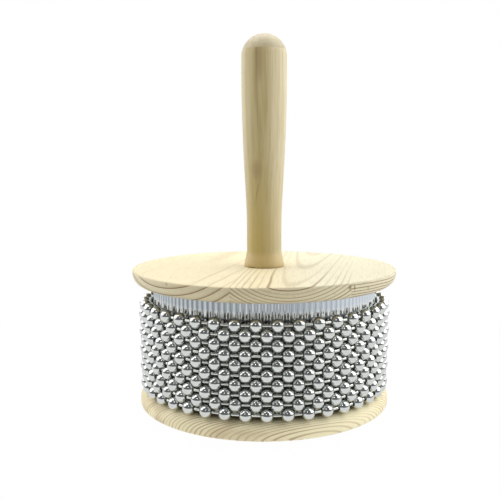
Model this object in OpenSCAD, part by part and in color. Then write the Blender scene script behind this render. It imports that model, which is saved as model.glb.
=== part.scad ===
// Cabasa: a hand percussion instrument. A drum with a fluted steel skin sits between two
// turned wooden discs, a turned handle stands on the top disc, and ten closed loops of
// steel ball chain lie round the drum. The drum turns inside the loops.
// Origin: centre of the base disc's underside. +Z runs up the handle, -Y is the front.

/* [Discs] */
// Height of the whole instrument, from the table to the top of the handle
total_h = 190; // [175:1:220]
// Diameter of the base disc
base_d = 131; // [129:0.5:150]
// Diameter of the top disc
top_d = 137.4; // [129:0.2:150]
// Thickness of each disc
disc_t = 8; // [7.5:0.25:12]
// Rounding of the disc edges that face the chains
inner_round = 6.2; // [2:0.1:6.5]
// Rounding of the disc edges that face away from the chains
outer_round = 0.8; // [0.4:0.1:1.5]

/* [Drum] */
// Length of the drum between the two discs
drum_h = 54; // [50:0.5:80]
// Diameter over the crests of the flutes
crest_d = 116.5; // [114:0.1:118]
// Number of flutes round the steel skin
flutes = 126; // [90:2:150]
// Depth of a flute from crest to valley
flute_depth = 0.7; // [0.4:0.05:1]
// Thickness of the steel skin
sheet_t = 0.4; // [0.25:0.05:0.6]
// Gap where the two ends of the rolled skin meet, at the back
seam_gap = 1; // [0.9:0.05:1.4]

/* [Ball chains] */
// Number of balls in each loop
balls = 41; // [37:1:43]
// Diameter of a ball, across the chain
ball_d = 6.4; // [6:0.05:6.5]
// Length of a ball along the chain, between its two pressed ends
ball_l = 5.5; // [5.2:0.05:5.7]
// Wall of a hollow ball
ball_wall = 0.3; // [0.2:0.05:0.4]
// Diameter of the wire between two balls
link_d = 1.5; // [1.2:0.05:1.6]
// Diameter of the head at each end of a link, inside the balls
head_d = 2.4; // [2.3:0.05:2.5]
// Play between the balls of the snug loops and the crests of the flutes
ring_play = 0.25; // [0.2:0.05:0.5]
// How much further out every second, looser loop hangs
row_step = 0.4; // [0:0.05:0.5]
// How much further out each loop hangs than the one below it
row_spread = 0.07; // [0:0.01:0.1]
// Height from one loop to the next
row_pitch = 4.56; // [4.5:0.02:4.9]
// Turn of the loops round the drum at rest, in degrees
chain_turn = -3.3; // [-8.7:0.1:8.7]

/* [Handle] */
// Diameter of the handle's foot
foot_d = 19.8; // [19:0.2:26]
// Smallest diameter, at the waist
waist_d = 18.2; // [16:0.1:19]
// Diameter of the grip
grip_d = 23.6; // [21:0.1:30]
// Height of the waist above the foot
waist_h = 24; // [20:1:34]
// Height of the shoulder, from the grip's full diameter to the handle's top
shoulder_h = 15; // [14:0.5:35]
// Height of the domed end
dome_h = 7.4; // [5:0.1:8.2]

/* [Fixings] */
// Diameter of the long bolt that holds discs, core and handle together
bolt_d = 6; // [5:0.25:6.5]
// Distance across the flats of the bolt's head
head_flats = 10; // [9:0.25:11]
// Height of the bolt's head
bolt_head_h = 3.2; // [2.6:0.1:3.6]
// Outside diameter of the washer
washer_d = 16; // [13:0.5:18]
// Thickness of the washer
washer_t = 1; // [0.6:0.1:1.2]
// Outside diameter of the threaded insert in the handle
insert_d = 9; // [8:0.25:10]
// Length of the threaded insert
insert_l = 16; // [12:0.5:20]

/* [Hidden] */
$fn = 64;

// Colours as photographed
pine = [0.95, 0.88, 0.70];
pine_base = [0.88, 0.81, 0.62];
grip_wood = [0.72, 0.62, 0.42];
core_wood = [0.80, 0.70, 0.50];
steel = [0.72, 0.75, 0.78];
ball_steel = [0.82, 0.82, 0.82];
wire_steel = [0.66, 0.66, 0.66];
brass = [0.78, 0.64, 0.32];

// One overrun serves every cut
overrun = 1;

// Clearances
wood_fit = 0.1;
metal_fit = 0.03;
skin_fit = 0.05;
row_rest = 0.12;
hole_clear = 0.3;
head_play = 0.16;
recess_clear = 0.6;
insert_sink = 0.2;

// Levels, from the table up
base_r = base_d / 2;
top_r = top_d / 2;
crest_r = crest_d / 2;
drum_z = disc_t;
top_z = drum_z + drum_h;
handle_z = top_z + disc_t;
handle_h = total_h - handle_z;

// Disc edges: the flat under the drum always reaches past the steel skin
edge_flat = 0.6;
seat_edge = 0.5;
round_limit = disc_t - outer_round - edge_flat;
base_round = min(inner_round, round_limit, base_r - crest_r - seat_edge);
top_round = min(inner_round, round_limit, top_r - crest_r - seat_edge);

// Steel skin and the core inside it
flute_steps = 6;
skin_steps = flutes * flute_steps;
seam_half_a = asin(seam_gap / 2 / crest_r);
core_r = crest_r - flute_depth - sheet_t - skin_fit;

// Brads through the seam
brad_d = 0.8;
brad_head_d = 2.2;
brad_head_t = 0.12;
brad_inset = 4;
brad_l = 9;
brad_levels = [drum_z + brad_inset, top_z - brad_inset];

// Ball chains
chain_count = 10;
ball_r = ball_d / 2;
ball_in_r = ball_r - ball_wall;
link_r = link_d / 2;
link_hole_r = link_r + hole_clear;
head_r = head_d / 2;
ball_a = 360 / balls;
ball_end_x = ball_l / 2;
head_x = ball_end_x - ball_wall - sqrt(pow(head_r + head_play, 2) - pow(link_hole_r, 2));

// The lowest loop rests on the rounding of the base disc
base_round_r = base_r - base_round;
base_round_z = disc_t - base_round;
first_row_r = crest_r + ring_play + row_step + ball_r;
first_row_out = max(0, first_row_r - base_round_r);
first_row_z = base_round_z
    + sqrt(pow(base_round + row_rest + ball_r, 2) - pow(first_row_out, 2));

// Bolt, washer and insert
recess_h = bolt_head_h + washer_t + recess_clear;
recess_d = washer_d + 2 * recess_clear;
washer_z = recess_h - washer_t;
bolt_engage = insert_l - insert_sink;
bolt_end_z = handle_z + bolt_engage;
insert_pocket_h = insert_l + 2 * insert_sink;

// Handle outline
foot_chamfer = 0.5;
rim_in = 0.8;
foot_r = foot_d / 2;
waist_r = waist_d / 2;
grip_r = grip_d / 2;
rim_r = grip_r - rim_in;
rim_z = handle_h - dome_h;
dome_r = (pow(rim_r, 2) + pow(dome_h, 2)) / (2 * dome_h);
full_grip_z = handle_h - shoulder_h;

// The rim is an arc that leaves the grip upright and meets the dome at the dome's own slope
rim_a = acos(rim_r / dome_r);
rim_round = rim_in / (1 - cos(rim_a));
rim_h = rim_round * sin(rim_a);
flare_steps = 10;
swell_steps = 20;
rim_steps = 6;
flare_power = 2.5;
swell_start_power = 1.4;
swell_end_power = 2.6;

// Radius of the skin's outside at angle a: a crest lies on the seam at the back
function flute_r(a) = crest_r - flute_depth * (1 - cos(flutes * (a - 90))) / 2;

// Radius of the handle below the waist, t running from the foot to the waist
function flare_r(t) = waist_r + (foot_r - waist_r) * pow(1 - t, flare_power);

// Radius of the handle above the waist, t running from the waist to the full grip
function swell_r(t) =
    waist_r + (grip_r - waist_r) * (1 - pow(1 - pow(t, swell_start_power), swell_end_power));

// Turn of loop k's first ball: every second loop is set half a ball pitch on
function row_turn(k) = chain_turn + (k % 2) * ball_a / 2;
function row_z(k) = first_row_z + (k - 1) * row_pitch;

// Radius of loop k through its ball centres: the lowest loop is a loose one
function ring_r(k) =
    crest_r + ring_play + (k % 2) * row_step + (k - 1) * row_spread + ball_r;

// Section of a disc, outer face down, with a small outer and a large inner rounding
module disc_section(r, round_r) {
    square([r - round_r, disc_t]);
    square([r - outer_round, disc_t - round_r]);
    translate([0, outer_round])
        square([r, disc_t - outer_round - round_r]);
    translate([r - outer_round, outer_round])
        circle(outer_round);
    translate([r - round_r, disc_t - round_r])
        intersection() {
            circle(round_r);
            square(round_r);
        }
}

module base_disc() {
    color(pine_base)
    difference() {
        rotate_extrude() disc_section(base_r, base_round);
        translate([0, 0, -overrun])
            cylinder(h = disc_t + 2 * overrun, d = bolt_d + 2 * wood_fit);
        translate([0, 0, -overrun])
            cylinder(h = recess_h + overrun, d = recess_d);
    }
}

module top_disc() {
    color(pine)
    difference() {
        translate([0, 0, handle_z])
            mirror([0, 0, 1])
                rotate_extrude() disc_section(top_r, top_round);
        translate([0, 0, top_z - overrun])
            cylinder(h = disc_t + 2 * overrun, d = bolt_d + 2 * wood_fit);
    }
}

// Turned core: it carries the steel skin and spaces the two discs
module drum_core() {
    color(core_wood)
    difference() {
        translate([0, 0, drum_z])
            cylinder(h = drum_h, r = core_r);
        translate([0, 0, drum_z - overrun])
            cylinder(h = drum_h + 2 * overrun, d = bolt_d + 2 * wood_fit);
        for (z = brad_levels)
            brad_line(z)
                cylinder(h = brad_l + wood_fit, d = brad_d + 2 * metal_fit);
    }
}

// Places a child along a brad's axis, with its origin on the crests and +Z running inwards
module brad_line(z) {
    translate([0, crest_r, z])
        rotate([90, 0, 0])
            children();
}

// Rolled sheet: one open ring whose ends meet at the seam at the back
module fluted_skin() {
    step_a = (360 - 2 * seam_half_a) / skin_steps;
    outside = [for (i = [0:skin_steps])
        let (a = 90 + seam_half_a + i * step_a) flute_r(a) * [cos(a), sin(a)]];
    inside = [for (i = [skin_steps:-1:0])
        let (a = 90 + seam_half_a + i * step_a) (flute_r(a) - sheet_t) * [cos(a), sin(a)]];
    color(steel)
    translate([0, 0, drum_z])
        linear_extrude(drum_h)
            polygon(concat(outside, inside));
}

// Brads whose heads hold both ends of the sheet and whose shanks stand in the seam
module seam_brads() {
    color(steel)
    for (z = brad_levels)
        brad_line(z) {
            cylinder(h = brad_l, d = brad_d);
            translate([0, 0, -brad_head_t])
                cylinder(h = brad_head_t, d = brad_head_d);
        }
}

module centre_bolt() {
    color(steel) {
        translate([0, 0, washer_z - bolt_head_h])
            cylinder(h = bolt_head_h, d = head_flats / cos(30), $fn = 6);
        translate([0, 0, washer_z - bolt_head_h / 2])
            cylinder(h = bolt_end_z - washer_z + bolt_head_h / 2, d = bolt_d);
    }
}

module bolt_washer() {
    color(steel)
    translate([0, 0, washer_z])
        difference() {
            cylinder(h = washer_t, d = washer_d);
            translate([0, 0, -overrun])
                cylinder(h = washer_t + 2 * overrun, d = bolt_d + 2 * wood_fit);
        }
}

module handle_insert() {
    color(brass)
    translate([0, 0, handle_z + insert_sink])
        difference() {
            cylinder(h = insert_l, d = insert_d);
            translate([0, 0, -overrun])
                cylinder(h = insert_l + 2 * overrun, d = bolt_d + 2 * metal_fit);
        }
}

// Half section of the handle up to the dome's rim, foot at the bottom
module handle_section() {
    flare = [for (i = [1:flare_steps])
        let (t = i / flare_steps)
            [flare_r(t), foot_chamfer + t * (waist_h - foot_chamfer)]];
    swell = [for (i = [1:swell_steps])
        let (t = i / swell_steps) [swell_r(t), waist_h + t * (full_grip_z - waist_h)]];
    rim = [for (i = [0:rim_steps])
        let (a = rim_a * i / rim_steps)
            [grip_r - rim_round * (1 - cos(a)), rim_z - rim_h + rim_round * sin(a)]];
    polygon(concat(
        [[0, 0], [foot_r - foot_chamfer, 0], [foot_r, foot_chamfer]],
        flare, swell, rim, [[0, rim_z + dome_h / 2]]));
}

// Turned handle: flared foot, waist, long grip and a domed end
module handle() {
    color(grip_wood)
    translate([0, 0, handle_z])
        difference() {
            rotate_extrude() {
                handle_section();
                intersection() {
                    translate([0, handle_h - dome_r])
                        circle(dome_r);
                    translate([0, rim_z])
                        square([grip_r, dome_h + overrun]);
                }
            }
            translate([0, 0, -overrun])
                cylinder(h = insert_pocket_h + overrun, d = insert_d + 2 * metal_fit);
        }
}

// A sphere of radius r cut flat at both ends, half_l out from its middle along X
module flat_ended(r, half_l) {
    intersection() {
        sphere(r);
        cube([2 * half_l, 2 * r + overrun, 2 * r + overrun], center = true);
    }
}

// One hollow ball with pressed ends, drilled along X for the two links that meet inside it
module ball() {
    difference() {
        flat_ended(ball_r, ball_end_x);
        flat_ended(ball_in_r, ball_end_x - ball_wall);
        rotate([0, 90, 0])
            cylinder(h = ball_l + 2 * overrun, r = link_hole_r, center = true);
    }
}

// One link: a wire along X with a head at each end, head_gap out from its middle
module link(head_gap) {
    rotate([0, 90, 0])
        cylinder(h = 2 * head_gap, r = link_r, center = true);
    for (side = [-1, 1])
        translate([side * head_gap, 0, 0])
            sphere(head_r);
}

module chain_balls(k) {
    color(ball_steel)
    for (i = [0:balls - 1])
        rotate([0, 0, row_turn(k) + i * ball_a])
            translate([0, -ring_r(k), row_z(k)])
                ball();
}

// Each link lies on the chord from one ball's centre to the next, so the loop closes on itself
module chain_links(k) {
    color(wire_steel)
    for (i = [0:balls - 1])
        rotate([0, 0, row_turn(k) + (i + 1 / 2) * ball_a])
            translate([0, -ring_r(k) * cos(ball_a / 2), row_z(k)])
                link(ring_r(k) * sin(ball_a / 2) - head_x);
}

handle();
handle_insert();
top_disc();
base_disc();
drum_core();
fluted_skin();
seam_brads();
centre_bolt();
bolt_washer();
chain_balls(1);  // chain_01_balls
chain_links(1);  // chain_01_links
chain_balls(2);  // chain_02_balls
chain_links(2);  // chain_02_links
chain_balls(3);  // chain_03_balls
chain_links(3);  // chain_03_links
chain_balls(4);  // chain_04_balls
chain_links(4);  // chain_04_links
chain_balls(5);  // chain_05_balls
chain_links(5);  // chain_05_links
chain_balls(6);  // chain_06_balls
chain_links(6);  // chain_06_links
chain_balls(7);  // chain_07_balls
chain_links(7);  // chain_07_links
chain_balls(8);  // chain_08_balls
chain_links(8);  // chain_08_links
chain_balls(9);  // chain_09_balls
chain_links(9);  // chain_09_links
chain_balls(10);  // chain_10_balls
chain_links(10);  // chain_10_links
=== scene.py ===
import math

import bmesh
import bpy
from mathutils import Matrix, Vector
from bpy.props import FloatProperty, FloatVectorProperty, IntProperty, PointerProperty


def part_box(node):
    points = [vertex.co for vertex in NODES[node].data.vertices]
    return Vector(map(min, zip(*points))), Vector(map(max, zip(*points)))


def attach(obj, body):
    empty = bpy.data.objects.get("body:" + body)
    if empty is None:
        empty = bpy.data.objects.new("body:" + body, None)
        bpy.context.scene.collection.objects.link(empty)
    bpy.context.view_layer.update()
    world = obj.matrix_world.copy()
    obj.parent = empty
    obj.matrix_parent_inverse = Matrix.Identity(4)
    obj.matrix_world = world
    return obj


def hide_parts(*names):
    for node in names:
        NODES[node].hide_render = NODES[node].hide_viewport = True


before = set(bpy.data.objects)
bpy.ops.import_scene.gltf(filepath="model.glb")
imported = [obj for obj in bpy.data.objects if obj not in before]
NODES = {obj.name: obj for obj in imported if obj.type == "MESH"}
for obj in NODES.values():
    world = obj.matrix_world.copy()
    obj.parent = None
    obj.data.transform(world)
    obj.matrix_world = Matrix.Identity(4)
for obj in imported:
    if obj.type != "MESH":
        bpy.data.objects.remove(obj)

bl_info = {
    "name": "Cabasa",
    "version": (1, 0, 0),
    "blender": (4, 5, 0),
    "location": "View3D > Sidebar > Cabasa",
    "description": "Dresses a cabasa: pine discs, turned handle, fluted steel drum and ball chains",
    "category": "Object",
}

LOOPS = sorted(name for name in NODES if name.startswith("chain_"))
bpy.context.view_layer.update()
MM = 0.001
WHITE = (1.0, 1.0, 1.0)

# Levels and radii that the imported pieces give, in millimetres
DRUM_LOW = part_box("drum_core")[0].z / MM
DRUM_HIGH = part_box("drum_core")[1].z / MM
CREST_R = -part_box("fluted_skin")[0].y / MM
TOP_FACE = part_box("top_disc")[1].z / MM
HANDLE_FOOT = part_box("handle")[0].z / MM
HANDLE_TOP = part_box("handle")[1].z / MM

# How finely the turned pieces are drawn: sides round their axis
HANDLE_SIDES = 96
BALL_SIDES = 36
LINK_SIDES = 20

# The sheet's two ends meet at the back, on a crest
SEAM_AT = math.pi / 2

# Shape of the handle along its axis, in millimetres
DOME_HIGH = 7.4        # dome above the rounded rim
RIM_IN = 0.8           # how far the rim's rounding reaches in
WIDEST = 15.0          # widest place of the grip, below the tip
SLIMMEST = 24.0        # lower end of the swelling grip, above the foot
STRAIGHT = 22.0        # upper end of the straight waist, above the foot
SWELL_LOW = 1.4        # how gently the swell of the grip begins
SWELL_HIGH = 2.6       # how long it stays full at its upper end
FOOT_EDGE = 0.4        # bevel round the foot
POCKET_WIDER = 0.05    # pocket beyond the insert
POCKET_DEEPER = 0.2
POCKET_BANDS = 4       # flat bands at the end of the outline: bevel, underside, pocket

# The punched edge of a ball's hole: depth behind the end and width beyond the hole, millimetres
PUNCHED_EDGE = ((0.8, 0.25), (0.25, 0.0), (0.06, 0.03), (0.0, 0.12))
# How far a link reaches into the balls at both sides, from its middle, millimetres
LINK_REACH = 3.2

# Lines across the top disc, in millimetres: x where they cross its front, and how far they lean
# to the right for each millimetre towards the back
FRONT_Y = -60.0
LEFT_PITH = (-50.0, 0.25)
MIDDLE_PITH = (12.5, 0.16)
FIRST_JOINT = (-14.5, 0.1)
SECOND_JOINT = (38.5, 0.14)
STAIN = (-49.0, 0.25)
# Heights of the two piths, and how far the second one sinks for each millimetre to the back
LEFT_PITH_Z = 120.5
MIDDLE_PITH_Z, MIDDLE_PITH_SINK = 101.0, 0.03
# Pits in the front of the top disc's rim: place (x, z), reach (across, up), depth
PITS = (((38.3, 68.3), (1.0, 1.4), 0.8), ((40.6, 67.9), (0.5, 1.8), 0.7),
        ((47.6, 66.7), (0.4, 0.8), 0.6), ((31.0, 66.0), (0.6, 0.3), 0.5),
        ((-44.3, 69.2), (0.9, 1.4), 0.4))
# Pith of the base disc (x, y), and how far its rings lean outward for each millimetre up
BASE_PITH, BASE_LEAN = (-27.4, 68.6), 0.28

# Levels of the painted sheen and the painted shade on the steel skin, in millimetres, each with the
# level where its change is complete
SHEEN_ABOVE_LOOP_LEVELS = (58.0, 54.5)
SHADE_BEHIND_LOOPS_LEVELS = (53.0, 51.0)


# ---- sizes and colours ----

def size(name, default, description, high=1.0):
    return FloatProperty(name=name, description=description, default=default, min=0.0, max=high,
                         unit="LENGTH", precision=5)


def colour(name, default, description):
    return FloatVectorProperty(name=name, description=description, default=default, size=3,
                               subtype="COLOR", min=0.0, max=1.0)


def share(name, default, description):
    return FloatProperty(name=name, description=description, default=default, min=0.0, max=1.0,
                         subtype="FACTOR")


def brightness(name, default, description):
    return FloatProperty(name=name, description=description, default=default, min=0.0, max=20.0)


def watts(name, default, description):
    return FloatProperty(name=name, description=description, default=default, min=0.0, max=10.0,
                         unit="POWER")


class CabasaDrum(bpy.types.PropertyGroup):
    flutes: IntProperty(name="Flutes", description="Flutes round the steel skin", default=126,
                        min=60, max=200)
    flute_steps: IntProperty(name="Steps per flute", description="Mesh columns across one flute",
                             default=16, min=6, max=32)
    flute_depth: size("Flute depth", 0.0007, "From crest to valley", high=0.002)
    sheet: size("Sheet", 0.0004, "Thickness of the steel sheet", high=0.001)
    seam: size("Seam", 0.001, "Gap where the sheet's ends meet, at the back", high=0.003)
    skin: colour("Skin", (0.29, 0.32, 0.33), "Crests and valleys of the fluted steel")
    # Painted highlight on the flanks of the flutes
    flank_highlight: colour("Flanks", (0.62, 0.67, 0.72), "Rolled flanks of the flutes")
    # Painted shade on the steel behind the loops
    shade_behind_loops: colour("Behind the loops", (0.34, 0.34, 0.31), "Steel that the loops rub")
    # Painted sheen: a lighter band of steel just above the top loop
    sheen_above_loop: colour("Bare steel", (0.85, 0.83, 0.78), "Steel that the top loop has polished")
    skin_rough: share("Skin roughness", 0.09, "Satin of the fluted steel")


class CabasaChain(bpy.types.PropertyGroup):
    balls: IntProperty(name="Balls", description="Balls in one loop", default=41, min=20, max=60)
    ball_size: size("Ball", 0.0064, "Diameter of a ball", high=0.008)
    ball_length: size("Ball length", 0.0059, "Length of a ball along the chain", high=0.008)
    lip: size("Lip", 0.0002, "Rounding at the ends of a ball", high=0.001)
    hole: size("Hole", 0.0021, "Hole that a link enters by", high=0.003)
    wire: size("Wire", 0.0015, "Diameter of a link", high=0.002)
    play: size("Play", 0.00025, "Between the snug loops and the crests", high=0.001)
    step: size("Step", 0.0004, "How much further out every second loop hangs", high=0.001)
    spread: size("Spread", 0.00007, "How much further out each loop hangs than the one below",
                 high=0.0005)
    turn: FloatProperty(name="Turn", description="Turn of the loops round the drum",
                        default=math.radians(-3.3), unit="ROTATION")


class CabasaHandle(bpy.types.PropertyGroup):
    grip: size("Grip radius", 0.0118, "Widest radius of the handle", high=0.02)
    waist: size("Waist radius", 0.0091, "Slimmest radius of the handle", high=0.02)
    foot: size("Foot radius", 0.0105, "Radius of the handle where it stands on the disc",
               high=0.02)
    flare: size("Flare", 0.0095, "Height that the foot flares out in", high=0.03)


class CabasaWood(bpy.types.PropertyGroup):
    top_cream: colour("Top disc", (0.66, 0.58, 0.38), "Pale wood between the growth rings")
    top_pale: colour("Right boards", (0.62, 0.58, 0.42), "Paler wood of the boards at the right")
    top_line: colour("Top disc rings", (0.22, 0.14, 0.06), "Dark side of a growth ring")
    # End grain and painted shade: the rim beside the flat face
    end_grain_and_shade: share("End grain", 0.95, "Brightness of the rim's end grain beside the flat face")
    # Painted shade of the underside, darker towards the drum
    underside: share("Underside", 0.62, "Brightness of the dusty underside near the drum")
    base_cream: colour("Base disc", (0.93, 0.85, 0.57), "Pale wood between the growth rings")
    base_line: colour("Base disc rings", (0.38, 0.25, 0.12), "Dark side of a growth ring")
    grip_light: colour("Handle", (0.58, 0.50, 0.32), "Pale streaks of the handle")
    grip_dark: colour("Handle streaks", (0.37, 0.29, 0.10), "Dark streaks of the handle")
    grip_foot: colour("Handle foot", (0.47, 0.35, 0.09), "Warmer wood at the handle's foot")
    # Partly the flare's own warmer tone, partly painted light where the flare catches light from
    # above
    flare_tone_and_light: colour("Handle flare", (0.58, 0.43, 0.19), "Wood of the flared foot")
    grip_red: colour("Heartwood", (0.30, 0.20, 0.08), "Reddish patches of the handle")
    grip_end: colour("Handle end", (0.44, 0.375, 0.24), "End grain of the handle")
    # Also the colour of the painted shadow under the handle's foot
    knot_and_shadow: colour("Knots", (0.16, 0.11, 0.04), "Pits and mineral streaks")
    wide_gap: size("Wide rings", 0.0036, "Ring spacing of the top disc's left board", high=0.02)
    ring_gap: size("Ring spacing", 0.00165, "Ring spacing of the top disc's middle board",
                   high=0.02)
    base_gap: size("Base ring spacing", 0.0018, "Widest ring spacing of the base disc", high=0.02)


class CabasaMetal(bpy.types.PropertyGroup):
    ball: colour("Balls", (0.64, 0.66, 0.64), "Plating of the balls")
    ball_rough: share("Ball roughness", 0.07, "Polish of the balls")
    link: colour("Links", (0.67, 0.69, 0.65), "Plating of the links")
    link_rough: share("Link roughness", 0.10, "Polish of the links")
    zinc: colour("Fixings", (0.58, 0.59, 0.60), "Zinc on bolt, washer and brads")
    zinc_rough: share("Fixing roughness", 0.32, "Dullness of the zinc")
    brass: colour("Insert", (0.75, 0.58, 0.28), "Brass of the insert")
    brass_rough: share("Insert roughness", 0.25, "Turned finish of the brass")


class CabasaStage(bpy.types.PropertyGroup):
    left_light: brightness("Left light", 1.8, "Brightness of the left panel")
    right_light: brightness("Right light", 2.2, "Brightness of the right panel")
    top_light: brightness("Top light", 3.0, "Brightness of the panel overhead")
    fill_light: watts("Fill light", 0.36, "Power of the right fill, unseen in metal")
    spot_light: watts("Front light", 0.10, "Power of the small front light")
    room: share("Room", 0.18, "Brightness of the unlit room")
    floor: colour("Floor", (0.86, 0.86, 0.86), "Colour of the floor")


# ---- shader building ----

# Places of the colour sockets on a Mix node, on which several sockets share a name
MIX_A, MIX_B, MIX_RESULT = 6, 7, 2


class Socket:
    """An output socket that takes part in Python expressions; every operator adds a Math node."""

    def __init__(self, web, out):
        self.web = web
        self.out = out

    def math(self, operation, *others):
        return self.web.math(operation, self, *others)

    def __add__(self, other):
        return self.math("ADD", other)

    def __sub__(self, other):
        return self.math("SUBTRACT", other)

    def __mul__(self, other):
        return self.math("MULTIPLY", other)

    def __truediv__(self, other):
        return self.math("DIVIDE", other)

    def __pow__(self, other):
        return self.math("POWER", other)

    def __radd__(self, other):
        return self.web.math("ADD", other, self)

    def __rsub__(self, other):
        return self.web.math("SUBTRACT", other, self)

    def __rmul__(self, other):
        return self.web.math("MULTIPLY", other, self)

    def __rtruediv__(self, other):
        return self.web.math("DIVIDE", other, self)

    def __rpow__(self, other):
        return self.web.math("POWER", other, self)

    def __neg__(self):
        return self.web.math("SUBTRACT", 0.0, self)

    def __abs__(self):
        return self.math("ABSOLUTE")

    def least(self, other):
        return self.math("MINIMUM", other)

    def most(self, other):
        return self.math("MAXIMUM", other)

    def smooth(self, low, high):
        """0 at low, 1 at high, eased between; low may be the larger of the two."""
        return self.web.node("ShaderNodeMapRange", {"interpolation_type": "SMOOTHSTEP"},
                             {"Value": self, "From Min": low, "From Max": high})

    def bell(self, middle, width):
        """1 at middle, falling to 0 at width either side."""
        return (abs(self - middle) / width).least(1.0).smooth(1.0, 0.0)


class Web:
    """The nodes of one material or of the world."""

    def __init__(self, tree):
        self.tree = tree
        tree.nodes.clear()

    def node(self, kind, settings=None, sockets=None, out=0):
        """Adds a node: its settings first, then the values and links of its sockets."""
        made = self.tree.nodes.new(kind)
        for key, value in (settings or {}).items():
            setattr(made, key, value)
        for key, value in (sockets or {}).items():
            target = made.inputs[key]
            if isinstance(value, Socket):
                self.tree.links.new(value.out, target)
            elif target.type == "RGBA" and len(value) == 3:
                target.default_value = (*value, 1.0)
            else:
                target.default_value = value
        return Socket(self, made.outputs[out]) if made.outputs else None

    def math(self, operation, *values):
        return self.node("ShaderNodeMath", {"operation": operation}, dict(enumerate(values)))

    def mix(self, factor, a, b):
        """Colour a where factor is 0, colour b where it is 1."""
        return self.node("ShaderNodeMix", {"data_type": "RGBA"},
                         {"Factor": factor, MIX_A: a, MIX_B: b}, out=MIX_RESULT)

    def place(self):
        """x, y and z in the part's frame, in millimetres."""
        point = self.node("ShaderNodeTexCoord", out="Object")
        parts = self.node("ShaderNodeSeparateXYZ", {}, {"Vector": point}).out.node.outputs
        return [Socket(self, part) / MM for part in parts]

    def noise(self, x, y, z, scale=1.0, detail=2.0, rough=0.5, twist=0.0):
        """Soft noise from 0 to 1 at a point; a small multiple of x, y or z draws it out."""
        point = self.node("ShaderNodeCombineXYZ", {}, {"X": x, "Y": y, "Z": z})
        return self.node("ShaderNodeTexNoise", {"noise_dimensions": "3D"},
                         {"Vector": point, "Scale": scale, "Detail": detail, "Roughness": rough,
                          "Distortion": twist})

    def chance(self, number):
        """A fixed value from 0 to 1 for each whole number."""
        return self.node("ShaderNodeTexWhiteNoise", {"noise_dimensions": "1D"}, {"W": number})

    def spot(self, x, z, middle, reach):
        """1 at a middle, falling to 0 at an ellipse round it."""
        across, up = (x - middle[0]) / reach[0], (z - middle[1]) / reach[1]
        return (1.0 - across * across - up * up).most(0.0)

    def bump(self, height, strength, distance):
        return self.node("ShaderNodeBump", {}, {"Height": height, "Strength": strength,
                                                "Distance": distance}, out="Normal")


def shaded(name, surface):
    """A material whose output takes the shader that surface(web) gives."""
    made = bpy.data.materials.new(name)
    made.use_nodes = True
    web = Web(made.node_tree)
    web.node("ShaderNodeOutputMaterial", {}, {"Surface": surface(web)})
    return made


def material(name, dress):
    """A material whose Principled BSDF takes the inputs that dress(web) gives."""
    return shaded(name, lambda web: web.node("ShaderNodeBsdfPrincipled", {}, dress(web)))


def times(shade, factor):
    """A colour made brighter or darker."""
    return [factor * part for part in shade]


# ---- wood ----

def growth(web, rings, width, weakest=0.3, softness=0.25):
    """Dark line of each growth ring, 0 to 1: a soft rise to a thin line, of its own strength."""
    count = rings.math("FLOOR")
    part = rings - count
    thin = part.bell(1.0 - width, width)
    soft = part.smooth(0.45, 1.0 - width) * (1.0 - part.smooth(1.0 - width, 1.0))
    return (thin + soft * softness).least(1.0) * (weakest + (1.0 - weakest) * web.chance(count))


def fibre(web, along, across, deep):
    """Fine fibres, long along the grain."""
    return web.noise(along * 0.02, across * 1.6, deep * 1.6, scale=2.2, detail=3.0, rough=0.6)


def planed(web, shade, line, hair, rough):
    """Shader inputs of planed pine, on which rings and fibres stand out a little."""
    return {"Base Color": shade, "Roughness": rough + hair * 0.12, "Specular IOR Level": 0.35,
            "Normal": web.bump(line * 0.5 + hair * 0.5, 0.12, 0.0002)}


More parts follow.
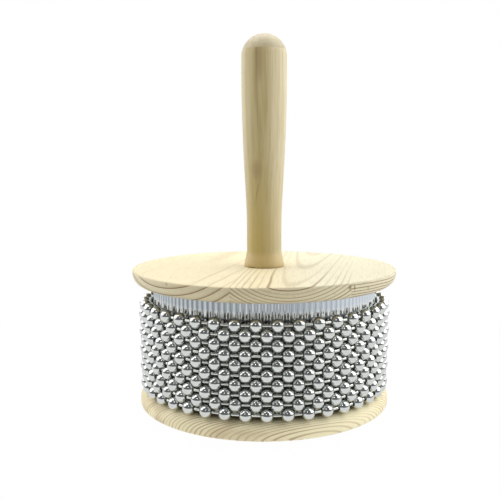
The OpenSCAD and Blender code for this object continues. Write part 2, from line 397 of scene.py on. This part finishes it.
def top_board(cfg):
    """Three pine boards glued edge to edge, grain running back: pith above the first two."""

    def dress(web):
        x, y, z = web.place()
        back = y - FRONT_Y

        def past(line):
            """Distance to the right of one of the lines across the disc."""
            at, lean = line
            return x - at - lean * back

        # Rings of the three boards, counted from their piths
        warp = web.noise(x * 0.03, y * 0.012, z * 0.05) - 0.5
        left = past(LEFT_PITH) + warp * 5.0
        left = (left ** 2.0 + (z - LEFT_PITH_Z) ** 2.0) ** 0.5 / (cfg.wide_gap / MM)
        up = z - MIDDLE_PITH_Z + MIDDLE_PITH_SINK * back
        middle = past(MIDDLE_PITH) + warp * 3.0
        middle = (middle ** 2.0 + up ** 2.0) ** 0.5 / (cfg.ring_gap / MM)
        right = (z + warp * 3.0 + x * 0.03) / 1.5

        # Their dark lines, fainter on the flat face than on the rim's end grain
        past_first = past(FIRST_JOINT).smooth(-0.2, 0.2)
        past_second = past(SECOND_JOINT).smooth(-0.2, 0.2)
        on_face = z.smooth(TOP_FACE - 1.0, TOP_FACE - 0.1)
        line = growth(web, left, width=0.1, weakest=0.8) * (1.0 - past_first)
        line = line * (1.0 - on_face * (0.55 + 0.25 * x.smooth(-20.0, -45.0)))
        line = line + growth(web, middle, width=0.2) * past_first * (1.0 - past_second)
        straight = growth(web, right, width=0.2, weakest=0.6)
        line = line + straight * past_second * (1.0 - on_face * 0.8)
        # Painted highlight: the rings on the flat face fade towards the back right, where the
        # overhead light falls brightest
        glare_to_back = (y + 0.4 * x).smooth(-60.0, 10.0)
        line = (line * (1.25 - on_face * (0.35 + 0.6 * glare_to_back))).least(1.0)

        # Wood between the lines: flat face, rim, and the underside's inner ring in painted shade
        # Painted light and shade on the rim: darker than the face as end grain and painted shade,
        # lighter towards the right as paler boards and painted light, and a painted highlight at
        # the far left
        pale_and_lit_rim = times(cfg.top_pale, 1.25)
        wood = web.mix(x.smooth(0.0, 30.0), cfg.top_cream, cfg.top_pale)
        end = web.mix(x.smooth(5.0, 42.0) * 0.55, times(cfg.top_cream, cfg.end_grain_and_shade), pale_and_lit_rim)
        end = web.mix(x.smooth(-35.0, -62.0) * 0.4, end, pale_and_lit_rim)
        wood = web.mix(on_face, end, wood)
        # Painted shade: the underside is darker towards the drum, where the loops keep the light
        # off
        radius = (x * x + y * y) ** 0.5
        underside_shade_mask = radius.smooth(66.5, 60.5) * z.smooth(DRUM_HIGH + 0.7, DRUM_HIGH + 0.3)
        wood = web.mix(underside_shade_mask, wood, times(cfg.top_pale, cfg.underside))
        shade = web.mix(line, wood, cfg.top_line)

        # Pores, fibres, a stain along the left board and a few pits
        pores = web.noise(x * 1.6, y * 1.6, z * 1.6, rough=0.6).smooth(0.58, 0.75)
        shade = web.mix(pores * (1.0 - on_face) * 0.3, shade, cfg.top_line)
        hair = web.noise(x - 0.1 * back, y * 0.03, z, scale=2.2, detail=3.0, rough=0.6)
        shade = web.mix(hair.smooth(0.45, 0.7) * 0.2, shade, cfg.top_line)
        stain = (past(STAIN) + 4.0 * warp).bell(0.0, 8.0) * y.smooth(5.0, 30.0)
        shade = web.mix(stain * 0.2, shade, cfg.top_line)
        in_front = y.smooth(0.0, -5.0) * (1.0 - on_face * 0.8)
        for place, reach, depth in PITS:
            shade = web.mix(web.spot(x, z, place, reach) * in_front * depth, shade, cfg.knot_and_shadow)
        return planed(web, shade, line, hair, 0.52)

    return material("pine_top_disc", dress)


def base_board(cfg):
    """Pine board whose rings stand nearly upright, round a pith at its back left."""

    def dress(web):
        x, y, z = web.place()
        pith_x, pith_y = BASE_PITH
        far = ((x - pith_x) ** 2.0 + (y - pith_y) ** 2.0) ** 0.5 - z * BASE_LEAN
        # The angle round the pith, as a length at a radius of 60 mm
        round_pith = (x - pith_x).math("ARCTAN2", pith_y - y) * 60.0
        warp = web.noise(round_pith * 0.03, far * 0.1, z * 0.1) - 0.5
        # Rings stand closer together far from the pith
        closer = ((far - 95.0).most(0.0) / 14.0) ** 2.0
        rings = (far + warp * 2.4) / (cfg.base_gap / MM) + closer
        uneven = web.noise(round_pith * 0.04, far * 0.04, z * 0.04).smooth(0.3, 0.7)
        line = growth(web, rings, width=0.22, softness=0.5) * (0.55 + 0.6 * uneven)
        hair = fibre(web, round_pith, far, z)
        blush = web.noise(round_pith * 0.06, far * 0.12, z * 0.1).smooth(0.4, 0.7)
        wood = web.mix(blush * x.smooth(25.0, -10.0) * 0.42, cfg.base_cream, cfg.base_line)
        darker = x.smooth(46.0, 62.0) * 0.14 + x.smooth(-15.0, -40.0) * 0.1
        wood = web.mix(darker, wood, cfg.base_line)
        # Painted light: the rings are fainter round x = 34 mm, lightening the right of the base
        shade = web.mix(line * (0.85 - 0.4 * x.bell(34.0, 28.0)), wood, cfg.base_line)
        shade = web.mix(hair.smooth(0.45, 0.75) * 0.16, shade, cfg.base_line)
        return planed(web, shade, line, hair, 0.55)

    return material("pine_base_disc", dress)


def handle_wood(cfg):
    """Close-grained wood, streaks up the handle and paler end grain on the dome."""

    def dress(web):
        x, y, z = web.place()
        in_front = y.smooth(2.0, -2.0)

        # Streaks from broad to fine, and a darker band left of the middle
        drift = (web.noise(0.0, 0.0, z * 0.02, detail=1.0) - 0.5) * 4.0
        streaks = web.noise((x + drift) * 0.2, y * 0.2, z * 0.005, scale=1.5)
        strands = web.noise((x + drift) * 0.8, y * 0.8, z * 0.015, detail=3.0, rough=0.6)
        fine = web.noise(x * 1.6, y * 1.6, z * 0.02, detail=3.0, rough=0.6)
        band = (x + 4.6 + drift * 0.4).bell(0.0, 9.5)
        dark = streaks.smooth(0.3, 0.75) * 0.4 + band * 0.6 + strands.smooth(0.35, 0.75) * 0.35
        side = web.mix(dark, cfg.grip_light, cfg.grip_dark)
        side = web.mix(fine.smooth(0.45, 0.7) * 0.34, side, cfg.grip_dark)

        # Warmer wood downward, a warmer and lighter flare with painted light, reddish patches
        side = web.mix(z.smooth(140.0, 78.0) * (0.2 + band * 0.5), side, cfg.grip_foot)
        # The flare's own tone and painted light from above
        side = web.mix(z.smooth(79.0, 75.0) * 0.6, side, cfg.flare_tone_and_light)
        patch = web.spot(x, z, (-3.7, 120.5), (3.4, 6.0)) * 0.6
        patch = patch + web.spot(x, z, (-2.2, 176.0), (2.4, 14.0)) * 0.55
        side = web.mix(patch * in_front, side, cfg.grip_red)

        # Two dark mineral lines: a long one down from the dome, a short one below the patch
        path = x + 3.9 - (182.0 - z) * 0.004 - (157.0 - z).most(0.0) * 0.1
        fading = z.smooth(132.0, 142.0) * (0.35 + 0.65 * z.smooth(150.0, 182.0))
        mineral = path.bell(0.0, 1.3) * fading
        lower = (x + 2.2 + (116.5 - z) * 0.18).bell(0.0, 0.8) * z.bell(110.0, 10.0)
        side = web.mix((mineral + lower * 0.8).least(1.0) * in_front * 0.5, side, cfg.knot_and_shadow)

        # Mottled end grain on the dome, and a painted shadow under the foot
        mottle = web.noise(x * 0.35, y * 0.35, z * 0.35, detail=3.0, rough=0.6)
        end = web.mix(mottle.smooth(0.4, 0.65) * 0.5, cfg.grip_end, cfg.grip_dark)
        border = HANDLE_TOP - 8.3 + y * 0.03 + (mottle - 0.5)
        on_end = (z - border).smooth(-0.12, 0.12)
        # Painted shadow: a dark line low on the front of the foot, where it meets the disc
        foot_shadow = z.smooth(HANDLE_FOOT + 0.8, HANDLE_FOOT + 0.3) * x.bell(-6.2, 2.6) * in_front
        shade = web.mix(foot_shadow * 0.9, web.mix(on_end, side, end), cfg.knot_and_shadow)
        return {"Base Color": shade, "Roughness": 0.38 + fine * 0.12,
                "Specular IOR Level": 0.7, "Normal": web.bump(fine, 0.08, 0.00012)}

    return material("turned_handle_wood", dress)


def core_wood(cfg):
    """Softwood of the hidden core, grain upright."""

    def dress(web):
        x, y, z = web.place()
        hair = fibre(web, z, x, y)
        return {"Base Color": web.mix(hair, cfg.base_cream, cfg.base_line), "Roughness": 0.7}

    return material("core_softwood", dress)


# ---- metal ----

def plating(name, shade, rough, grain, cloudy):
    """Bright plating with faint clouds and fine scratches; grain is how many in a millimetre."""

    def dress(web):
        x, y, z = web.place()
        cloud = web.noise(x, y, z, scale=grain)
        scratch = web.noise(x * 3.0, y * 3.0, z * 0.6, scale=grain, rough=0.6, twist=1.5)
        dull = web.mix(cloud.smooth(0.4, 0.8) * cloudy, tuple(shade), times(shade, 0.7))
        return {"Base Color": dull, "Metallic": 1.0,
                "Roughness": rough + scratch.smooth(0.5, 0.8) * rough}

    return material(name, dress)


def skin_steel(cfg):
    """Satin steel drawn lengthwise along the flutes, with painted highlights on the flanks, a
    painted sheen above the top loop and painted shade behind the loops.
    """

    def dress(web):
        x, y, z = web.place()
        drawn = web.noise(x * 2.4, y * 2.4, z * 0.05, detail=3.0, rough=0.6)
        cloud = web.noise(x * 0.1, y * 0.1, z * 0.1)
        # Painted highlights: flanks facing right are painted brightest and flanks facing left less;
        # crests and valleys keep the darker skin colour as painted shade; the steel is painted
        # lighter towards the right
        slope = ((y.math("ARCTAN2", x) - SEAM_AT) * cfg.flutes).math("SINE")
        flank_light = slope.most(0.0) ** 2.0 * 0.8 + (-slope).most(0.0) ** 2.0 * 0.35
        flank_light = flank_light * (0.55 + 0.6 * drawn.smooth(0.3, 0.7)) + x.smooth(2.0, 45.0) * 0.75
        shade = web.mix(flank_light, cfg.skin, cfg.flank_highlight)
        # Painted sheen: lighter steel just above the top loop, so that it reflects brighter there
        shade = web.mix(z.smooth(*SHEEN_ABOVE_LOOP_LEVELS) * 0.45, shade, cfg.sheen_above_loop)
        # Painted shade: darker steel behind the loops, in the gaps between the balls
        shade = web.mix(z.smooth(*SHADE_BEHIND_LOOPS_LEVELS), shade, cfg.shade_behind_loops)
        return {"Base Color": shade, "Metallic": 1.0,
                "Roughness": cfg.skin_rough + drawn * 0.08 + cloud * 0.04}

    return material("fluted_satin_steel", dress)


# ---- pieces ----

def build(name, verts, faces, flat=()):
    """An object from points and faces, smooth but for the faces whose numbers are in flat."""
    mesh = bpy.data.meshes.new(name)
    mesh.from_pydata(verts, [], faces)
    mesh.update()
    mesh.polygons.foreach_set("use_smooth", [i not in flat for i in range(len(faces))])
    piece = bpy.data.objects.new(name, mesh)
    bpy.context.scene.collection.objects.link(piece)
    return piece


def stand_in(piece, made, body, node):
    """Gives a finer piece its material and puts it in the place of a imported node."""
    piece.data.materials.append(made)
    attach(piece, body)
    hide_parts(node)


def wear(node, made):
    """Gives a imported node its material."""
    data = NODES[node].data
    data.materials.clear()
    data.materials.append(made)


def steps(count, first=0):
    """Equal shares of 1, from first / count to 1."""
    return [i / count for i in range(first, count + 1)]


def turned(outline, sides):
    """Points and faces of an outline of (along, radius) pairs turned about X."""
    verts, faces = [], []
    for i in range(sides):
        a = i * math.tau / sides
        verts += [(along, radius * math.sin(a), radius * math.cos(a))
                  for along, radius in outline]
    count = len(outline)
    for i in range(sides):
        for j in range(count - 1):
            here, beside = i * count + j, (i + 1) % sides * count + j
            faces.append((here, beside, beside + 1, here + 1))
    return verts, faces


def skin_mesh(cfg):
    """The rolled sheet as an open ring of flutes: outside, inside, two rims and two seam edges."""
    count = cfg.flutes * cfg.flute_steps
    half = math.asin(cfg.seam / 2 / MM / CREST_R)

    def ring(thin):
        points = []
        for i in range(count + 1):
            a = SEAM_AT + half + i * (math.tau - 2 * half) / count
            depth = cfg.flute_depth / MM * (1 - math.cos(cfg.flutes * (a - SEAM_AT))) / 2
            r = CREST_R - depth - thin
            points.append((r * math.cos(a), r * math.sin(a)))
        return points

    outside, inside = ring(0.0), ring(cfg.sheet / MM)
    verts, faces, flat = [], [], set()

    def wall(first, second, flip=False, hard=False):
        """A strip of faces between two lines of points."""
        start = len(verts)
        for pair in zip(first, second):
            verts.extend(pair)
        for i in range(len(first) - 1):
            q = start + 2 * i
            face = (q, q + 2, q + 3, q + 1)
            if hard:
                flat.add(len(faces))
            faces.append(face[::-1] if flip else face)

    def at(points, z):
        return [(x * MM, y * MM, z * MM) for x, y in points]

    wall(at(outside, DRUM_LOW), at(outside, DRUM_HIGH))
    wall(at(inside, DRUM_LOW), at(inside, DRUM_HIGH), flip=True)
    wall(at(outside, DRUM_HIGH), at(inside, DRUM_HIGH), hard=True)
    wall(at(outside, DRUM_LOW), at(inside, DRUM_LOW), flip=True, hard=True)
    for end, flip in ((0, False), (-1, True)):
        edge = [outside[end], inside[end]]
        wall(at(edge, DRUM_LOW), at(edge, DRUM_HIGH), flip=flip, hard=True)
    return build("fluted_skin_fine", verts, faces, flat)


def handle_outline(cfg):
    """From the tip of the dome down to the foot and up into the insert's pocket."""
    grip, waist, foot, flare = (v / MM for v in (cfg.grip, cfg.waist, cfg.foot, cfg.flare))
    top, low = HANDLE_TOP, HANDLE_FOOT

    # A dome that meets the grip in a tighter rounding
    dome_r = ((grip - RIM_IN) ** 2 + DOME_HIGH ** 2) / (2 * DOME_HIGH)
    turn = math.acos((grip - RIM_IN) / dome_r)
    rim_r = RIM_IN / (1 - math.cos(turn))
    rim_low = top - DOME_HIGH - rim_r * math.sin(turn)
    outline = [(top - dome_r + dome_r * math.cos(a), dome_r * math.sin(a))
               for a in ((math.pi / 2 - turn) * t for t in steps(14))]
    outline += [(rim_low + rim_r * math.sin(a), grip - rim_r * (1 - math.cos(a)))
                for a in (turn * (1 - t) for t in steps(5, 1))]

    # The long swelling grip, the straight waist and the flare
    full, slim, straight = top - WIDEST, low + SLIMMEST, low + STRAIGHT
    for t in steps(24, 1):
        swell = 1 - (1 - (1 - t) ** SWELL_LOW) ** SWELL_HIGH
        outline.append((full - (full - slim) * t, waist + (grip - waist) * swell))
    outline += [(straight - (straight - low - flare) * t, waist) for t in steps(4)]
    # The flare stops two steps early, and runs straight to the bevel from there
    outline += [(low + flare * (1 - t), waist + (foot - waist) * t * t * (3 - 2 * t))
                for t in steps(12, 1)[:-2]]

    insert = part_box("handle_insert")[1] / MM
    pocket_r, pocket_top = insert.x + POCKET_WIDER, insert.z + POCKET_DEEPER
    return outline + [(low + FOOT_EDGE, foot), (low, foot - FOOT_EDGE), (low, pocket_r),
                      (pocket_top, pocket_r), (pocket_top, 0.0)]


def ball_outline(cfg):
    """From inside one hole over the outside to the other: rounded lips on a flattened ball."""
    radius, half, lip, hole = (v / MM for v in (cfg.ball_size / 2, cfg.ball_length / 2, cfg.lip,
                                                cfg.hole / 2))
    low = half - lip
    rise = math.sqrt((radius - lip) ** 2 - low ** 2)
    lean = math.atan2(rise, low)
    punched = [(half - depth, hole + wider) for depth, wider in PUNCHED_EDGE]
    round_lip = [(low + lip * math.cos(a), rise + lip * math.sin(a))
                 for a in (lean * t for t in steps(4)[:-1])]
    shell = [(radius * math.cos(a), radius * math.sin(a))
             for a in (lean + (math.pi / 2 - lean) * t for t in steps(9))]
    side = punched + round_lip + shell
    return side + [(-x, r) for x, r in side[-2::-1]]


def link_outline(cfg):
    """The wire of a link, from inside one ball to inside the next."""
    return [(LINK_REACH * t, cfg.wire / 2 / MM) for t in (1.0, 1 / 3, -1 / 3, -1.0)]


def loop(cfg, node, shape, half_step):
    """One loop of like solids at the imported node's level; links sit half a step further round."""
    low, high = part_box(node)
    level = (low.z + high.z) / 2 / MM
    number = int(node.split("_")[1])
    odd = number % 2
    step = math.tau / cfg.balls
    ring = CREST_R + (cfg.play + odd * cfg.step + (number - 1) * cfg.spread
                      + cfg.ball_size / 2) / MM
    # A link runs straight from ball to ball, so its middle lies a little nearer the axis
    if half_step:
        ring *= math.cos(step / 2)
    points, faces = shape
    verts, all_faces = [], []
    for i in range(cfg.balls):
        a = cfg.turn + odd * step / 2 + (i + (0.5 if half_step else 0.0)) * step
        c, s = math.cos(a), math.sin(a)
        start = len(verts)
        for x, y, z in points:
            y -= ring
            verts.append(((x * c - y * s) * MM, (x * s + y * c) * MM, (z + level) * MM))
        all_faces += [tuple(start + v for v in face) for face in faces]
    return build(node + "_fine", verts, all_faces)


# ---- stage ----

def emission(web, strength):
    return web.node("ShaderNodeEmission", {}, {"Color": WHITE, "Strength": strength})


def glow(name, strength):
    return shaded(name, lambda web: emission(web, strength))


def pale_floor(cfg):
    """A trace of shadow near the instrument, plain white further out."""

    def surface(web):
        x, y, z = web.place()
        away = ((x ** 2.0 + y ** 2.0) ** 0.5).smooth(70.0, 260.0)
        lit = web.node("ShaderNodeBsdfDiffuse", {}, {"Color": tuple(cfg.floor)})
        return web.node("ShaderNodeMixShader", {},
                        {0: 0.97 + 0.03 * away, 1: lit, 2: emission(web, 1.0)})

    return shaded("pale_floor", surface)


def lamp(name, place, aim_z, across, high, power):
    """A rectangular lamp that the camera doesn't see, aimed at a level of the part's axis."""
    data = bpy.data.lights.new(name, "AREA")
    data.shape = "RECTANGLE"
    data.size = across
    data.size_y = high
    data.energy = power
    light = bpy.data.objects.new(name, data)
    bpy.context.scene.collection.objects.link(light)
    light.location = place
    way = Vector((0.0, 0.0, aim_z)) - Vector(place)
    light.rotation_euler = way.to_track_quat("-Z", "Y").to_euler()
    light.visible_camera = False
    return light


def panel(name, corners, faces, strength):
    """A glowing panel that the camera doesn't see."""
    made = build(name, corners, faces)
    made.data.materials.append(glow(name + "_white", strength))
    made.visible_camera = False


def set_ground(cfg):
    """The floor, and a white backdrop that only the camera sees."""
    radius, sides = 2.0, 96
    around = (i * math.tau / sides for i in range(sides))
    rim = [(radius * math.cos(a), radius * math.sin(a), 0.0) for a in around]
    floor = build("floor", rim, [tuple(range(sides))])
    floor.data.materials.append(pale_floor(cfg))

    bpy.ops.mesh.primitive_uv_sphere_add(segments=32, ring_count=16, radius=6.0)
    dome = bpy.context.object
    dome.name = "backdrop"
    dome.data.materials.append(glow("backdrop_white", 1.0))
    for flag in ("diffuse", "glossy", "transmission", "volume_scatter", "shadow"):
        setattr(dome, "visible_" + flag, False)


def set_lights(cfg):
    """Panels that show in the metal, a small front light and two fills that don't show; metres."""
    wall = [(-1.6, 1.5, -0.2), (1.6, 1.5, -0.2), (1.6, 1.5, 1.4), (-1.6, 1.5, 1.4)]
    panel("back_wall", wall, [(0, 1, 2, 3)], 1.0)

    # Side panels as (y, z) corners: the same back edge, each with its own front edge
    behind = ((-0.05, 0.07), (0.55, 0.07), (0.55, 0.70))
    for side, name, strength, front in (
            (-1, "left", cfg.left_light, ((-0.16, 0.70), (-0.20, 0.50), (-0.28, 0.32))),
            (1, "right", cfg.right_light, ((-0.30, 0.70), (-0.32, 0.58), (-0.47, 0.26)))):
        edge = [(side * 0.46, y, z) for y, z in (*behind, *front)]
        panel("soft_light_" + name, edge, [tuple(range(len(edge)))], strength)

    # Overhead panel as (x, y) corners, with a notch above the handle
    edge = [(x, y, 0.72) for x, y in ((-0.46, 0.60), (-0.46, -0.34), (-0.26, -0.24), (0.0, -0.11),
                                      (0.26, -0.24), (0.46, -0.34), (0.46, 0.60))]
    panel("soft_light_top", edge, [(0, 1, 2, 3, 6), (3, 4, 5, 6)], cfg.top_light)

    for side, place, power in (("right", (0.33, -0.53, 0.08), cfg.fill_light),
                               ("left", (-0.44, -0.22, 0.12), cfg.fill_light * 0.6)):
        fill = lamp("fill_light_" + side, place, aim_z=0.03, across=0.5, high=0.2, power=power)
        fill.visible_glossy = False
    lamp("front_light", (-0.10, -0.50, 0.40), aim_z=0.05, across=0.06, high=0.05,
         power=cfg.spot_light)

    scene = bpy.context.scene
    world = scene.world or bpy.data.worlds.new("room")
    scene.world = world
    world.use_nodes = True
    web = Web(world.node_tree)
    web.node("ShaderNodeOutputWorld", {}, {"Surface": web.node(
        "ShaderNodeBackground", {}, {"Color": (0.95, 0.97, 1.0), "Strength": cfg.room})})


def set_camera():
    """The photograph's view: 6 degrees down, 352 mm in front of the axis."""
    data = bpy.data.cameras.new("view")
    data.lens = 48.15
    data.sensor_width = 36.0
    data.shift_x, data.shift_y = -0.0284, -0.0138
    data.clip_start = 0.01
    camera = bpy.data.objects.new("view", data)
    scene = bpy.context.scene
    scene.collection.objects.link(camera)
    camera.location = (0.0, -0.3517, 0.1191)
    camera.rotation_euler = (math.radians(84.0), 0.0, 0.0)
    scene.camera = camera


# ---- operators ----

class CABASA_OT_stage(bpy.types.Operator):
    """Floor, backdrop, soft lights and the camera"""

    bl_idname = "cabasa.stage"
    bl_label = "Stage"

    def execute(self, context):
        context.scene.view_settings.view_transform = "Standard"
        set_ground(context.scene.cabasa_stage)
        set_lights(context.scene.cabasa_stage)
        set_camera()
        return {"FINISHED"}


class CABASA_OT_skin(bpy.types.Operator):
    """The fluted steel skin, with finer flutes"""

    bl_idname = "cabasa.skin"
    bl_label = "Fluted skin"

    def execute(self, context):
        cfg = context.scene.cabasa_drum
        stand_in(skin_mesh(cfg), skin_steel(cfg), "drum", "fluted_skin")
        return {"FINISHED"}


class CABASA_OT_discs(bpy.types.Operator):
    """Wood of the two discs and of the core"""

    bl_idname = "cabasa.discs"
    bl_label = "Discs and core"

    def execute(self, context):
        cfg = context.scene.cabasa_wood
        wear("top_disc", top_board(cfg))
        wear("base_disc", base_board(cfg))
        wear("drum_core", core_wood(cfg))
        return {"FINISHED"}


class CABASA_OT_handle(bpy.types.Operator):
    """The turned handle, with a crisper flare at its foot"""

    bl_idname = "cabasa.handle"
    bl_label = "Handle"

    def execute(self, context):
        outline = handle_outline(context.scene.cabasa_handle)
        points, faces = turned(outline, HANDLE_SIDES)
        bands = len(outline) - 1
        flat = {i for i in range(len(faces)) if i % bands >= bands - POCKET_BANDS}
        upright = [(y * MM, z * MM, x * MM) for x, y, z in points]
        handle = build("handle_fine", upright, faces, flat)
        # The turned outline starts and ends on the axis, so its end points fall together
        mesh = bmesh.new()
        mesh.from_mesh(handle.data)
        bmesh.ops.remove_doubles(mesh, verts=mesh.verts, dist=1e-7)
        mesh.to_mesh(handle.data)
        mesh.free()
        stand_in(handle, handle_wood(context.scene.cabasa_wood), "drum", "handle")
        return {"FINISHED"}


class CABASA_OT_chains(bpy.types.Operator):
    """Ten loops of polished balls and their links, rounder than the solids"""

    bl_idname = "cabasa.chains"
    bl_label = "Ball chains"

    def execute(self, context):
        chain, metal = context.scene.cabasa_chain, context.scene.cabasa_metal
        ball = plating("polished_ball", metal.ball, metal.ball_rough, grain=0.35, cloudy=0.25)
        link = plating("link_wire", metal.link, metal.link_rough, grain=0.8, cloudy=0.3)
        ball_shape = turned(ball_outline(chain), BALL_SIDES)
        link_shape = turned(link_outline(chain), LINK_SIDES)
        for node in LOOPS:
            body = node.rpartition("_")[0]
            if node.endswith("balls"):
                made = loop(chain, node, ball_shape, half_step=False)
                stand_in(made, ball, body, node)
            else:
                made = loop(chain, node, link_shape, half_step=True)
                stand_in(made, link, body, node)
        return {"FINISHED"}


class CABASA_OT_fixings(bpy.types.Operator):
    """Metal of the bolt, washer, brads and insert"""

    bl_idname = "cabasa.fixings"
    bl_label = "Fixings"

    def execute(self, context):
        cfg = context.scene.cabasa_metal
        zinc = plating("zinc_plate", cfg.zinc, cfg.zinc_rough, grain=0.6, cloudy=0.5)
        for node in ("centre_bolt", "bolt_washer", "seam_brads"):
            wear(node, zinc)
        brass = plating("turned_brass", cfg.brass, cfg.brass_rough, grain=0.6, cloudy=0.3)
        wear("handle_insert", brass)
        return {"FINISHED"}


OPERATORS = (CABASA_OT_stage, CABASA_OT_skin, CABASA_OT_discs, CABASA_OT_handle,
             CABASA_OT_chains, CABASA_OT_fixings)
GROUPS = {"cabasa_drum": CabasaDrum, "cabasa_chain": CabasaChain,
          "cabasa_handle": CabasaHandle, "cabasa_wood": CabasaWood,
          "cabasa_metal": CabasaMetal, "cabasa_stage": CabasaStage}


class CABASA_PT_pieces(bpy.types.Panel):
    """Lists the pieces with their sizes and colours"""

    bl_idname = "CABASA_PT_pieces"
    bl_label = "Cabasa"
    bl_space_type = "VIEW_3D"
    bl_region_type = "UI"
    bl_category = "Cabasa"

    def draw(self, context):
        for operator in OPERATORS:
            self.layout.operator(operator.bl_idname)
        for name, group in GROUPS.items():
            box = self.layout.box()
            for prop in group.__annotations__:
                box.prop(getattr(context.scene, name), prop)


def register():
    for cls in (*GROUPS.values(), *OPERATORS, CABASA_PT_pieces):
        bpy.utils.register_class(cls)
    for name, group in GROUPS.items():
        setattr(bpy.types.Scene, name, PointerProperty(type=group))


def unregister():
    for name in GROUPS:
        delattr(bpy.types.Scene, name)
    for cls in (CABASA_PT_pieces, *reversed(OPERATORS), *reversed(list(GROUPS.values()))):
        bpy.utils.unregister_class(cls)


def main():
    register()
    for operator in OPERATORS:
        group, call = operator.bl_idname.split(".")
        getattr(getattr(bpy.ops, group), call)()


if __name__ == "__main__":
    main()
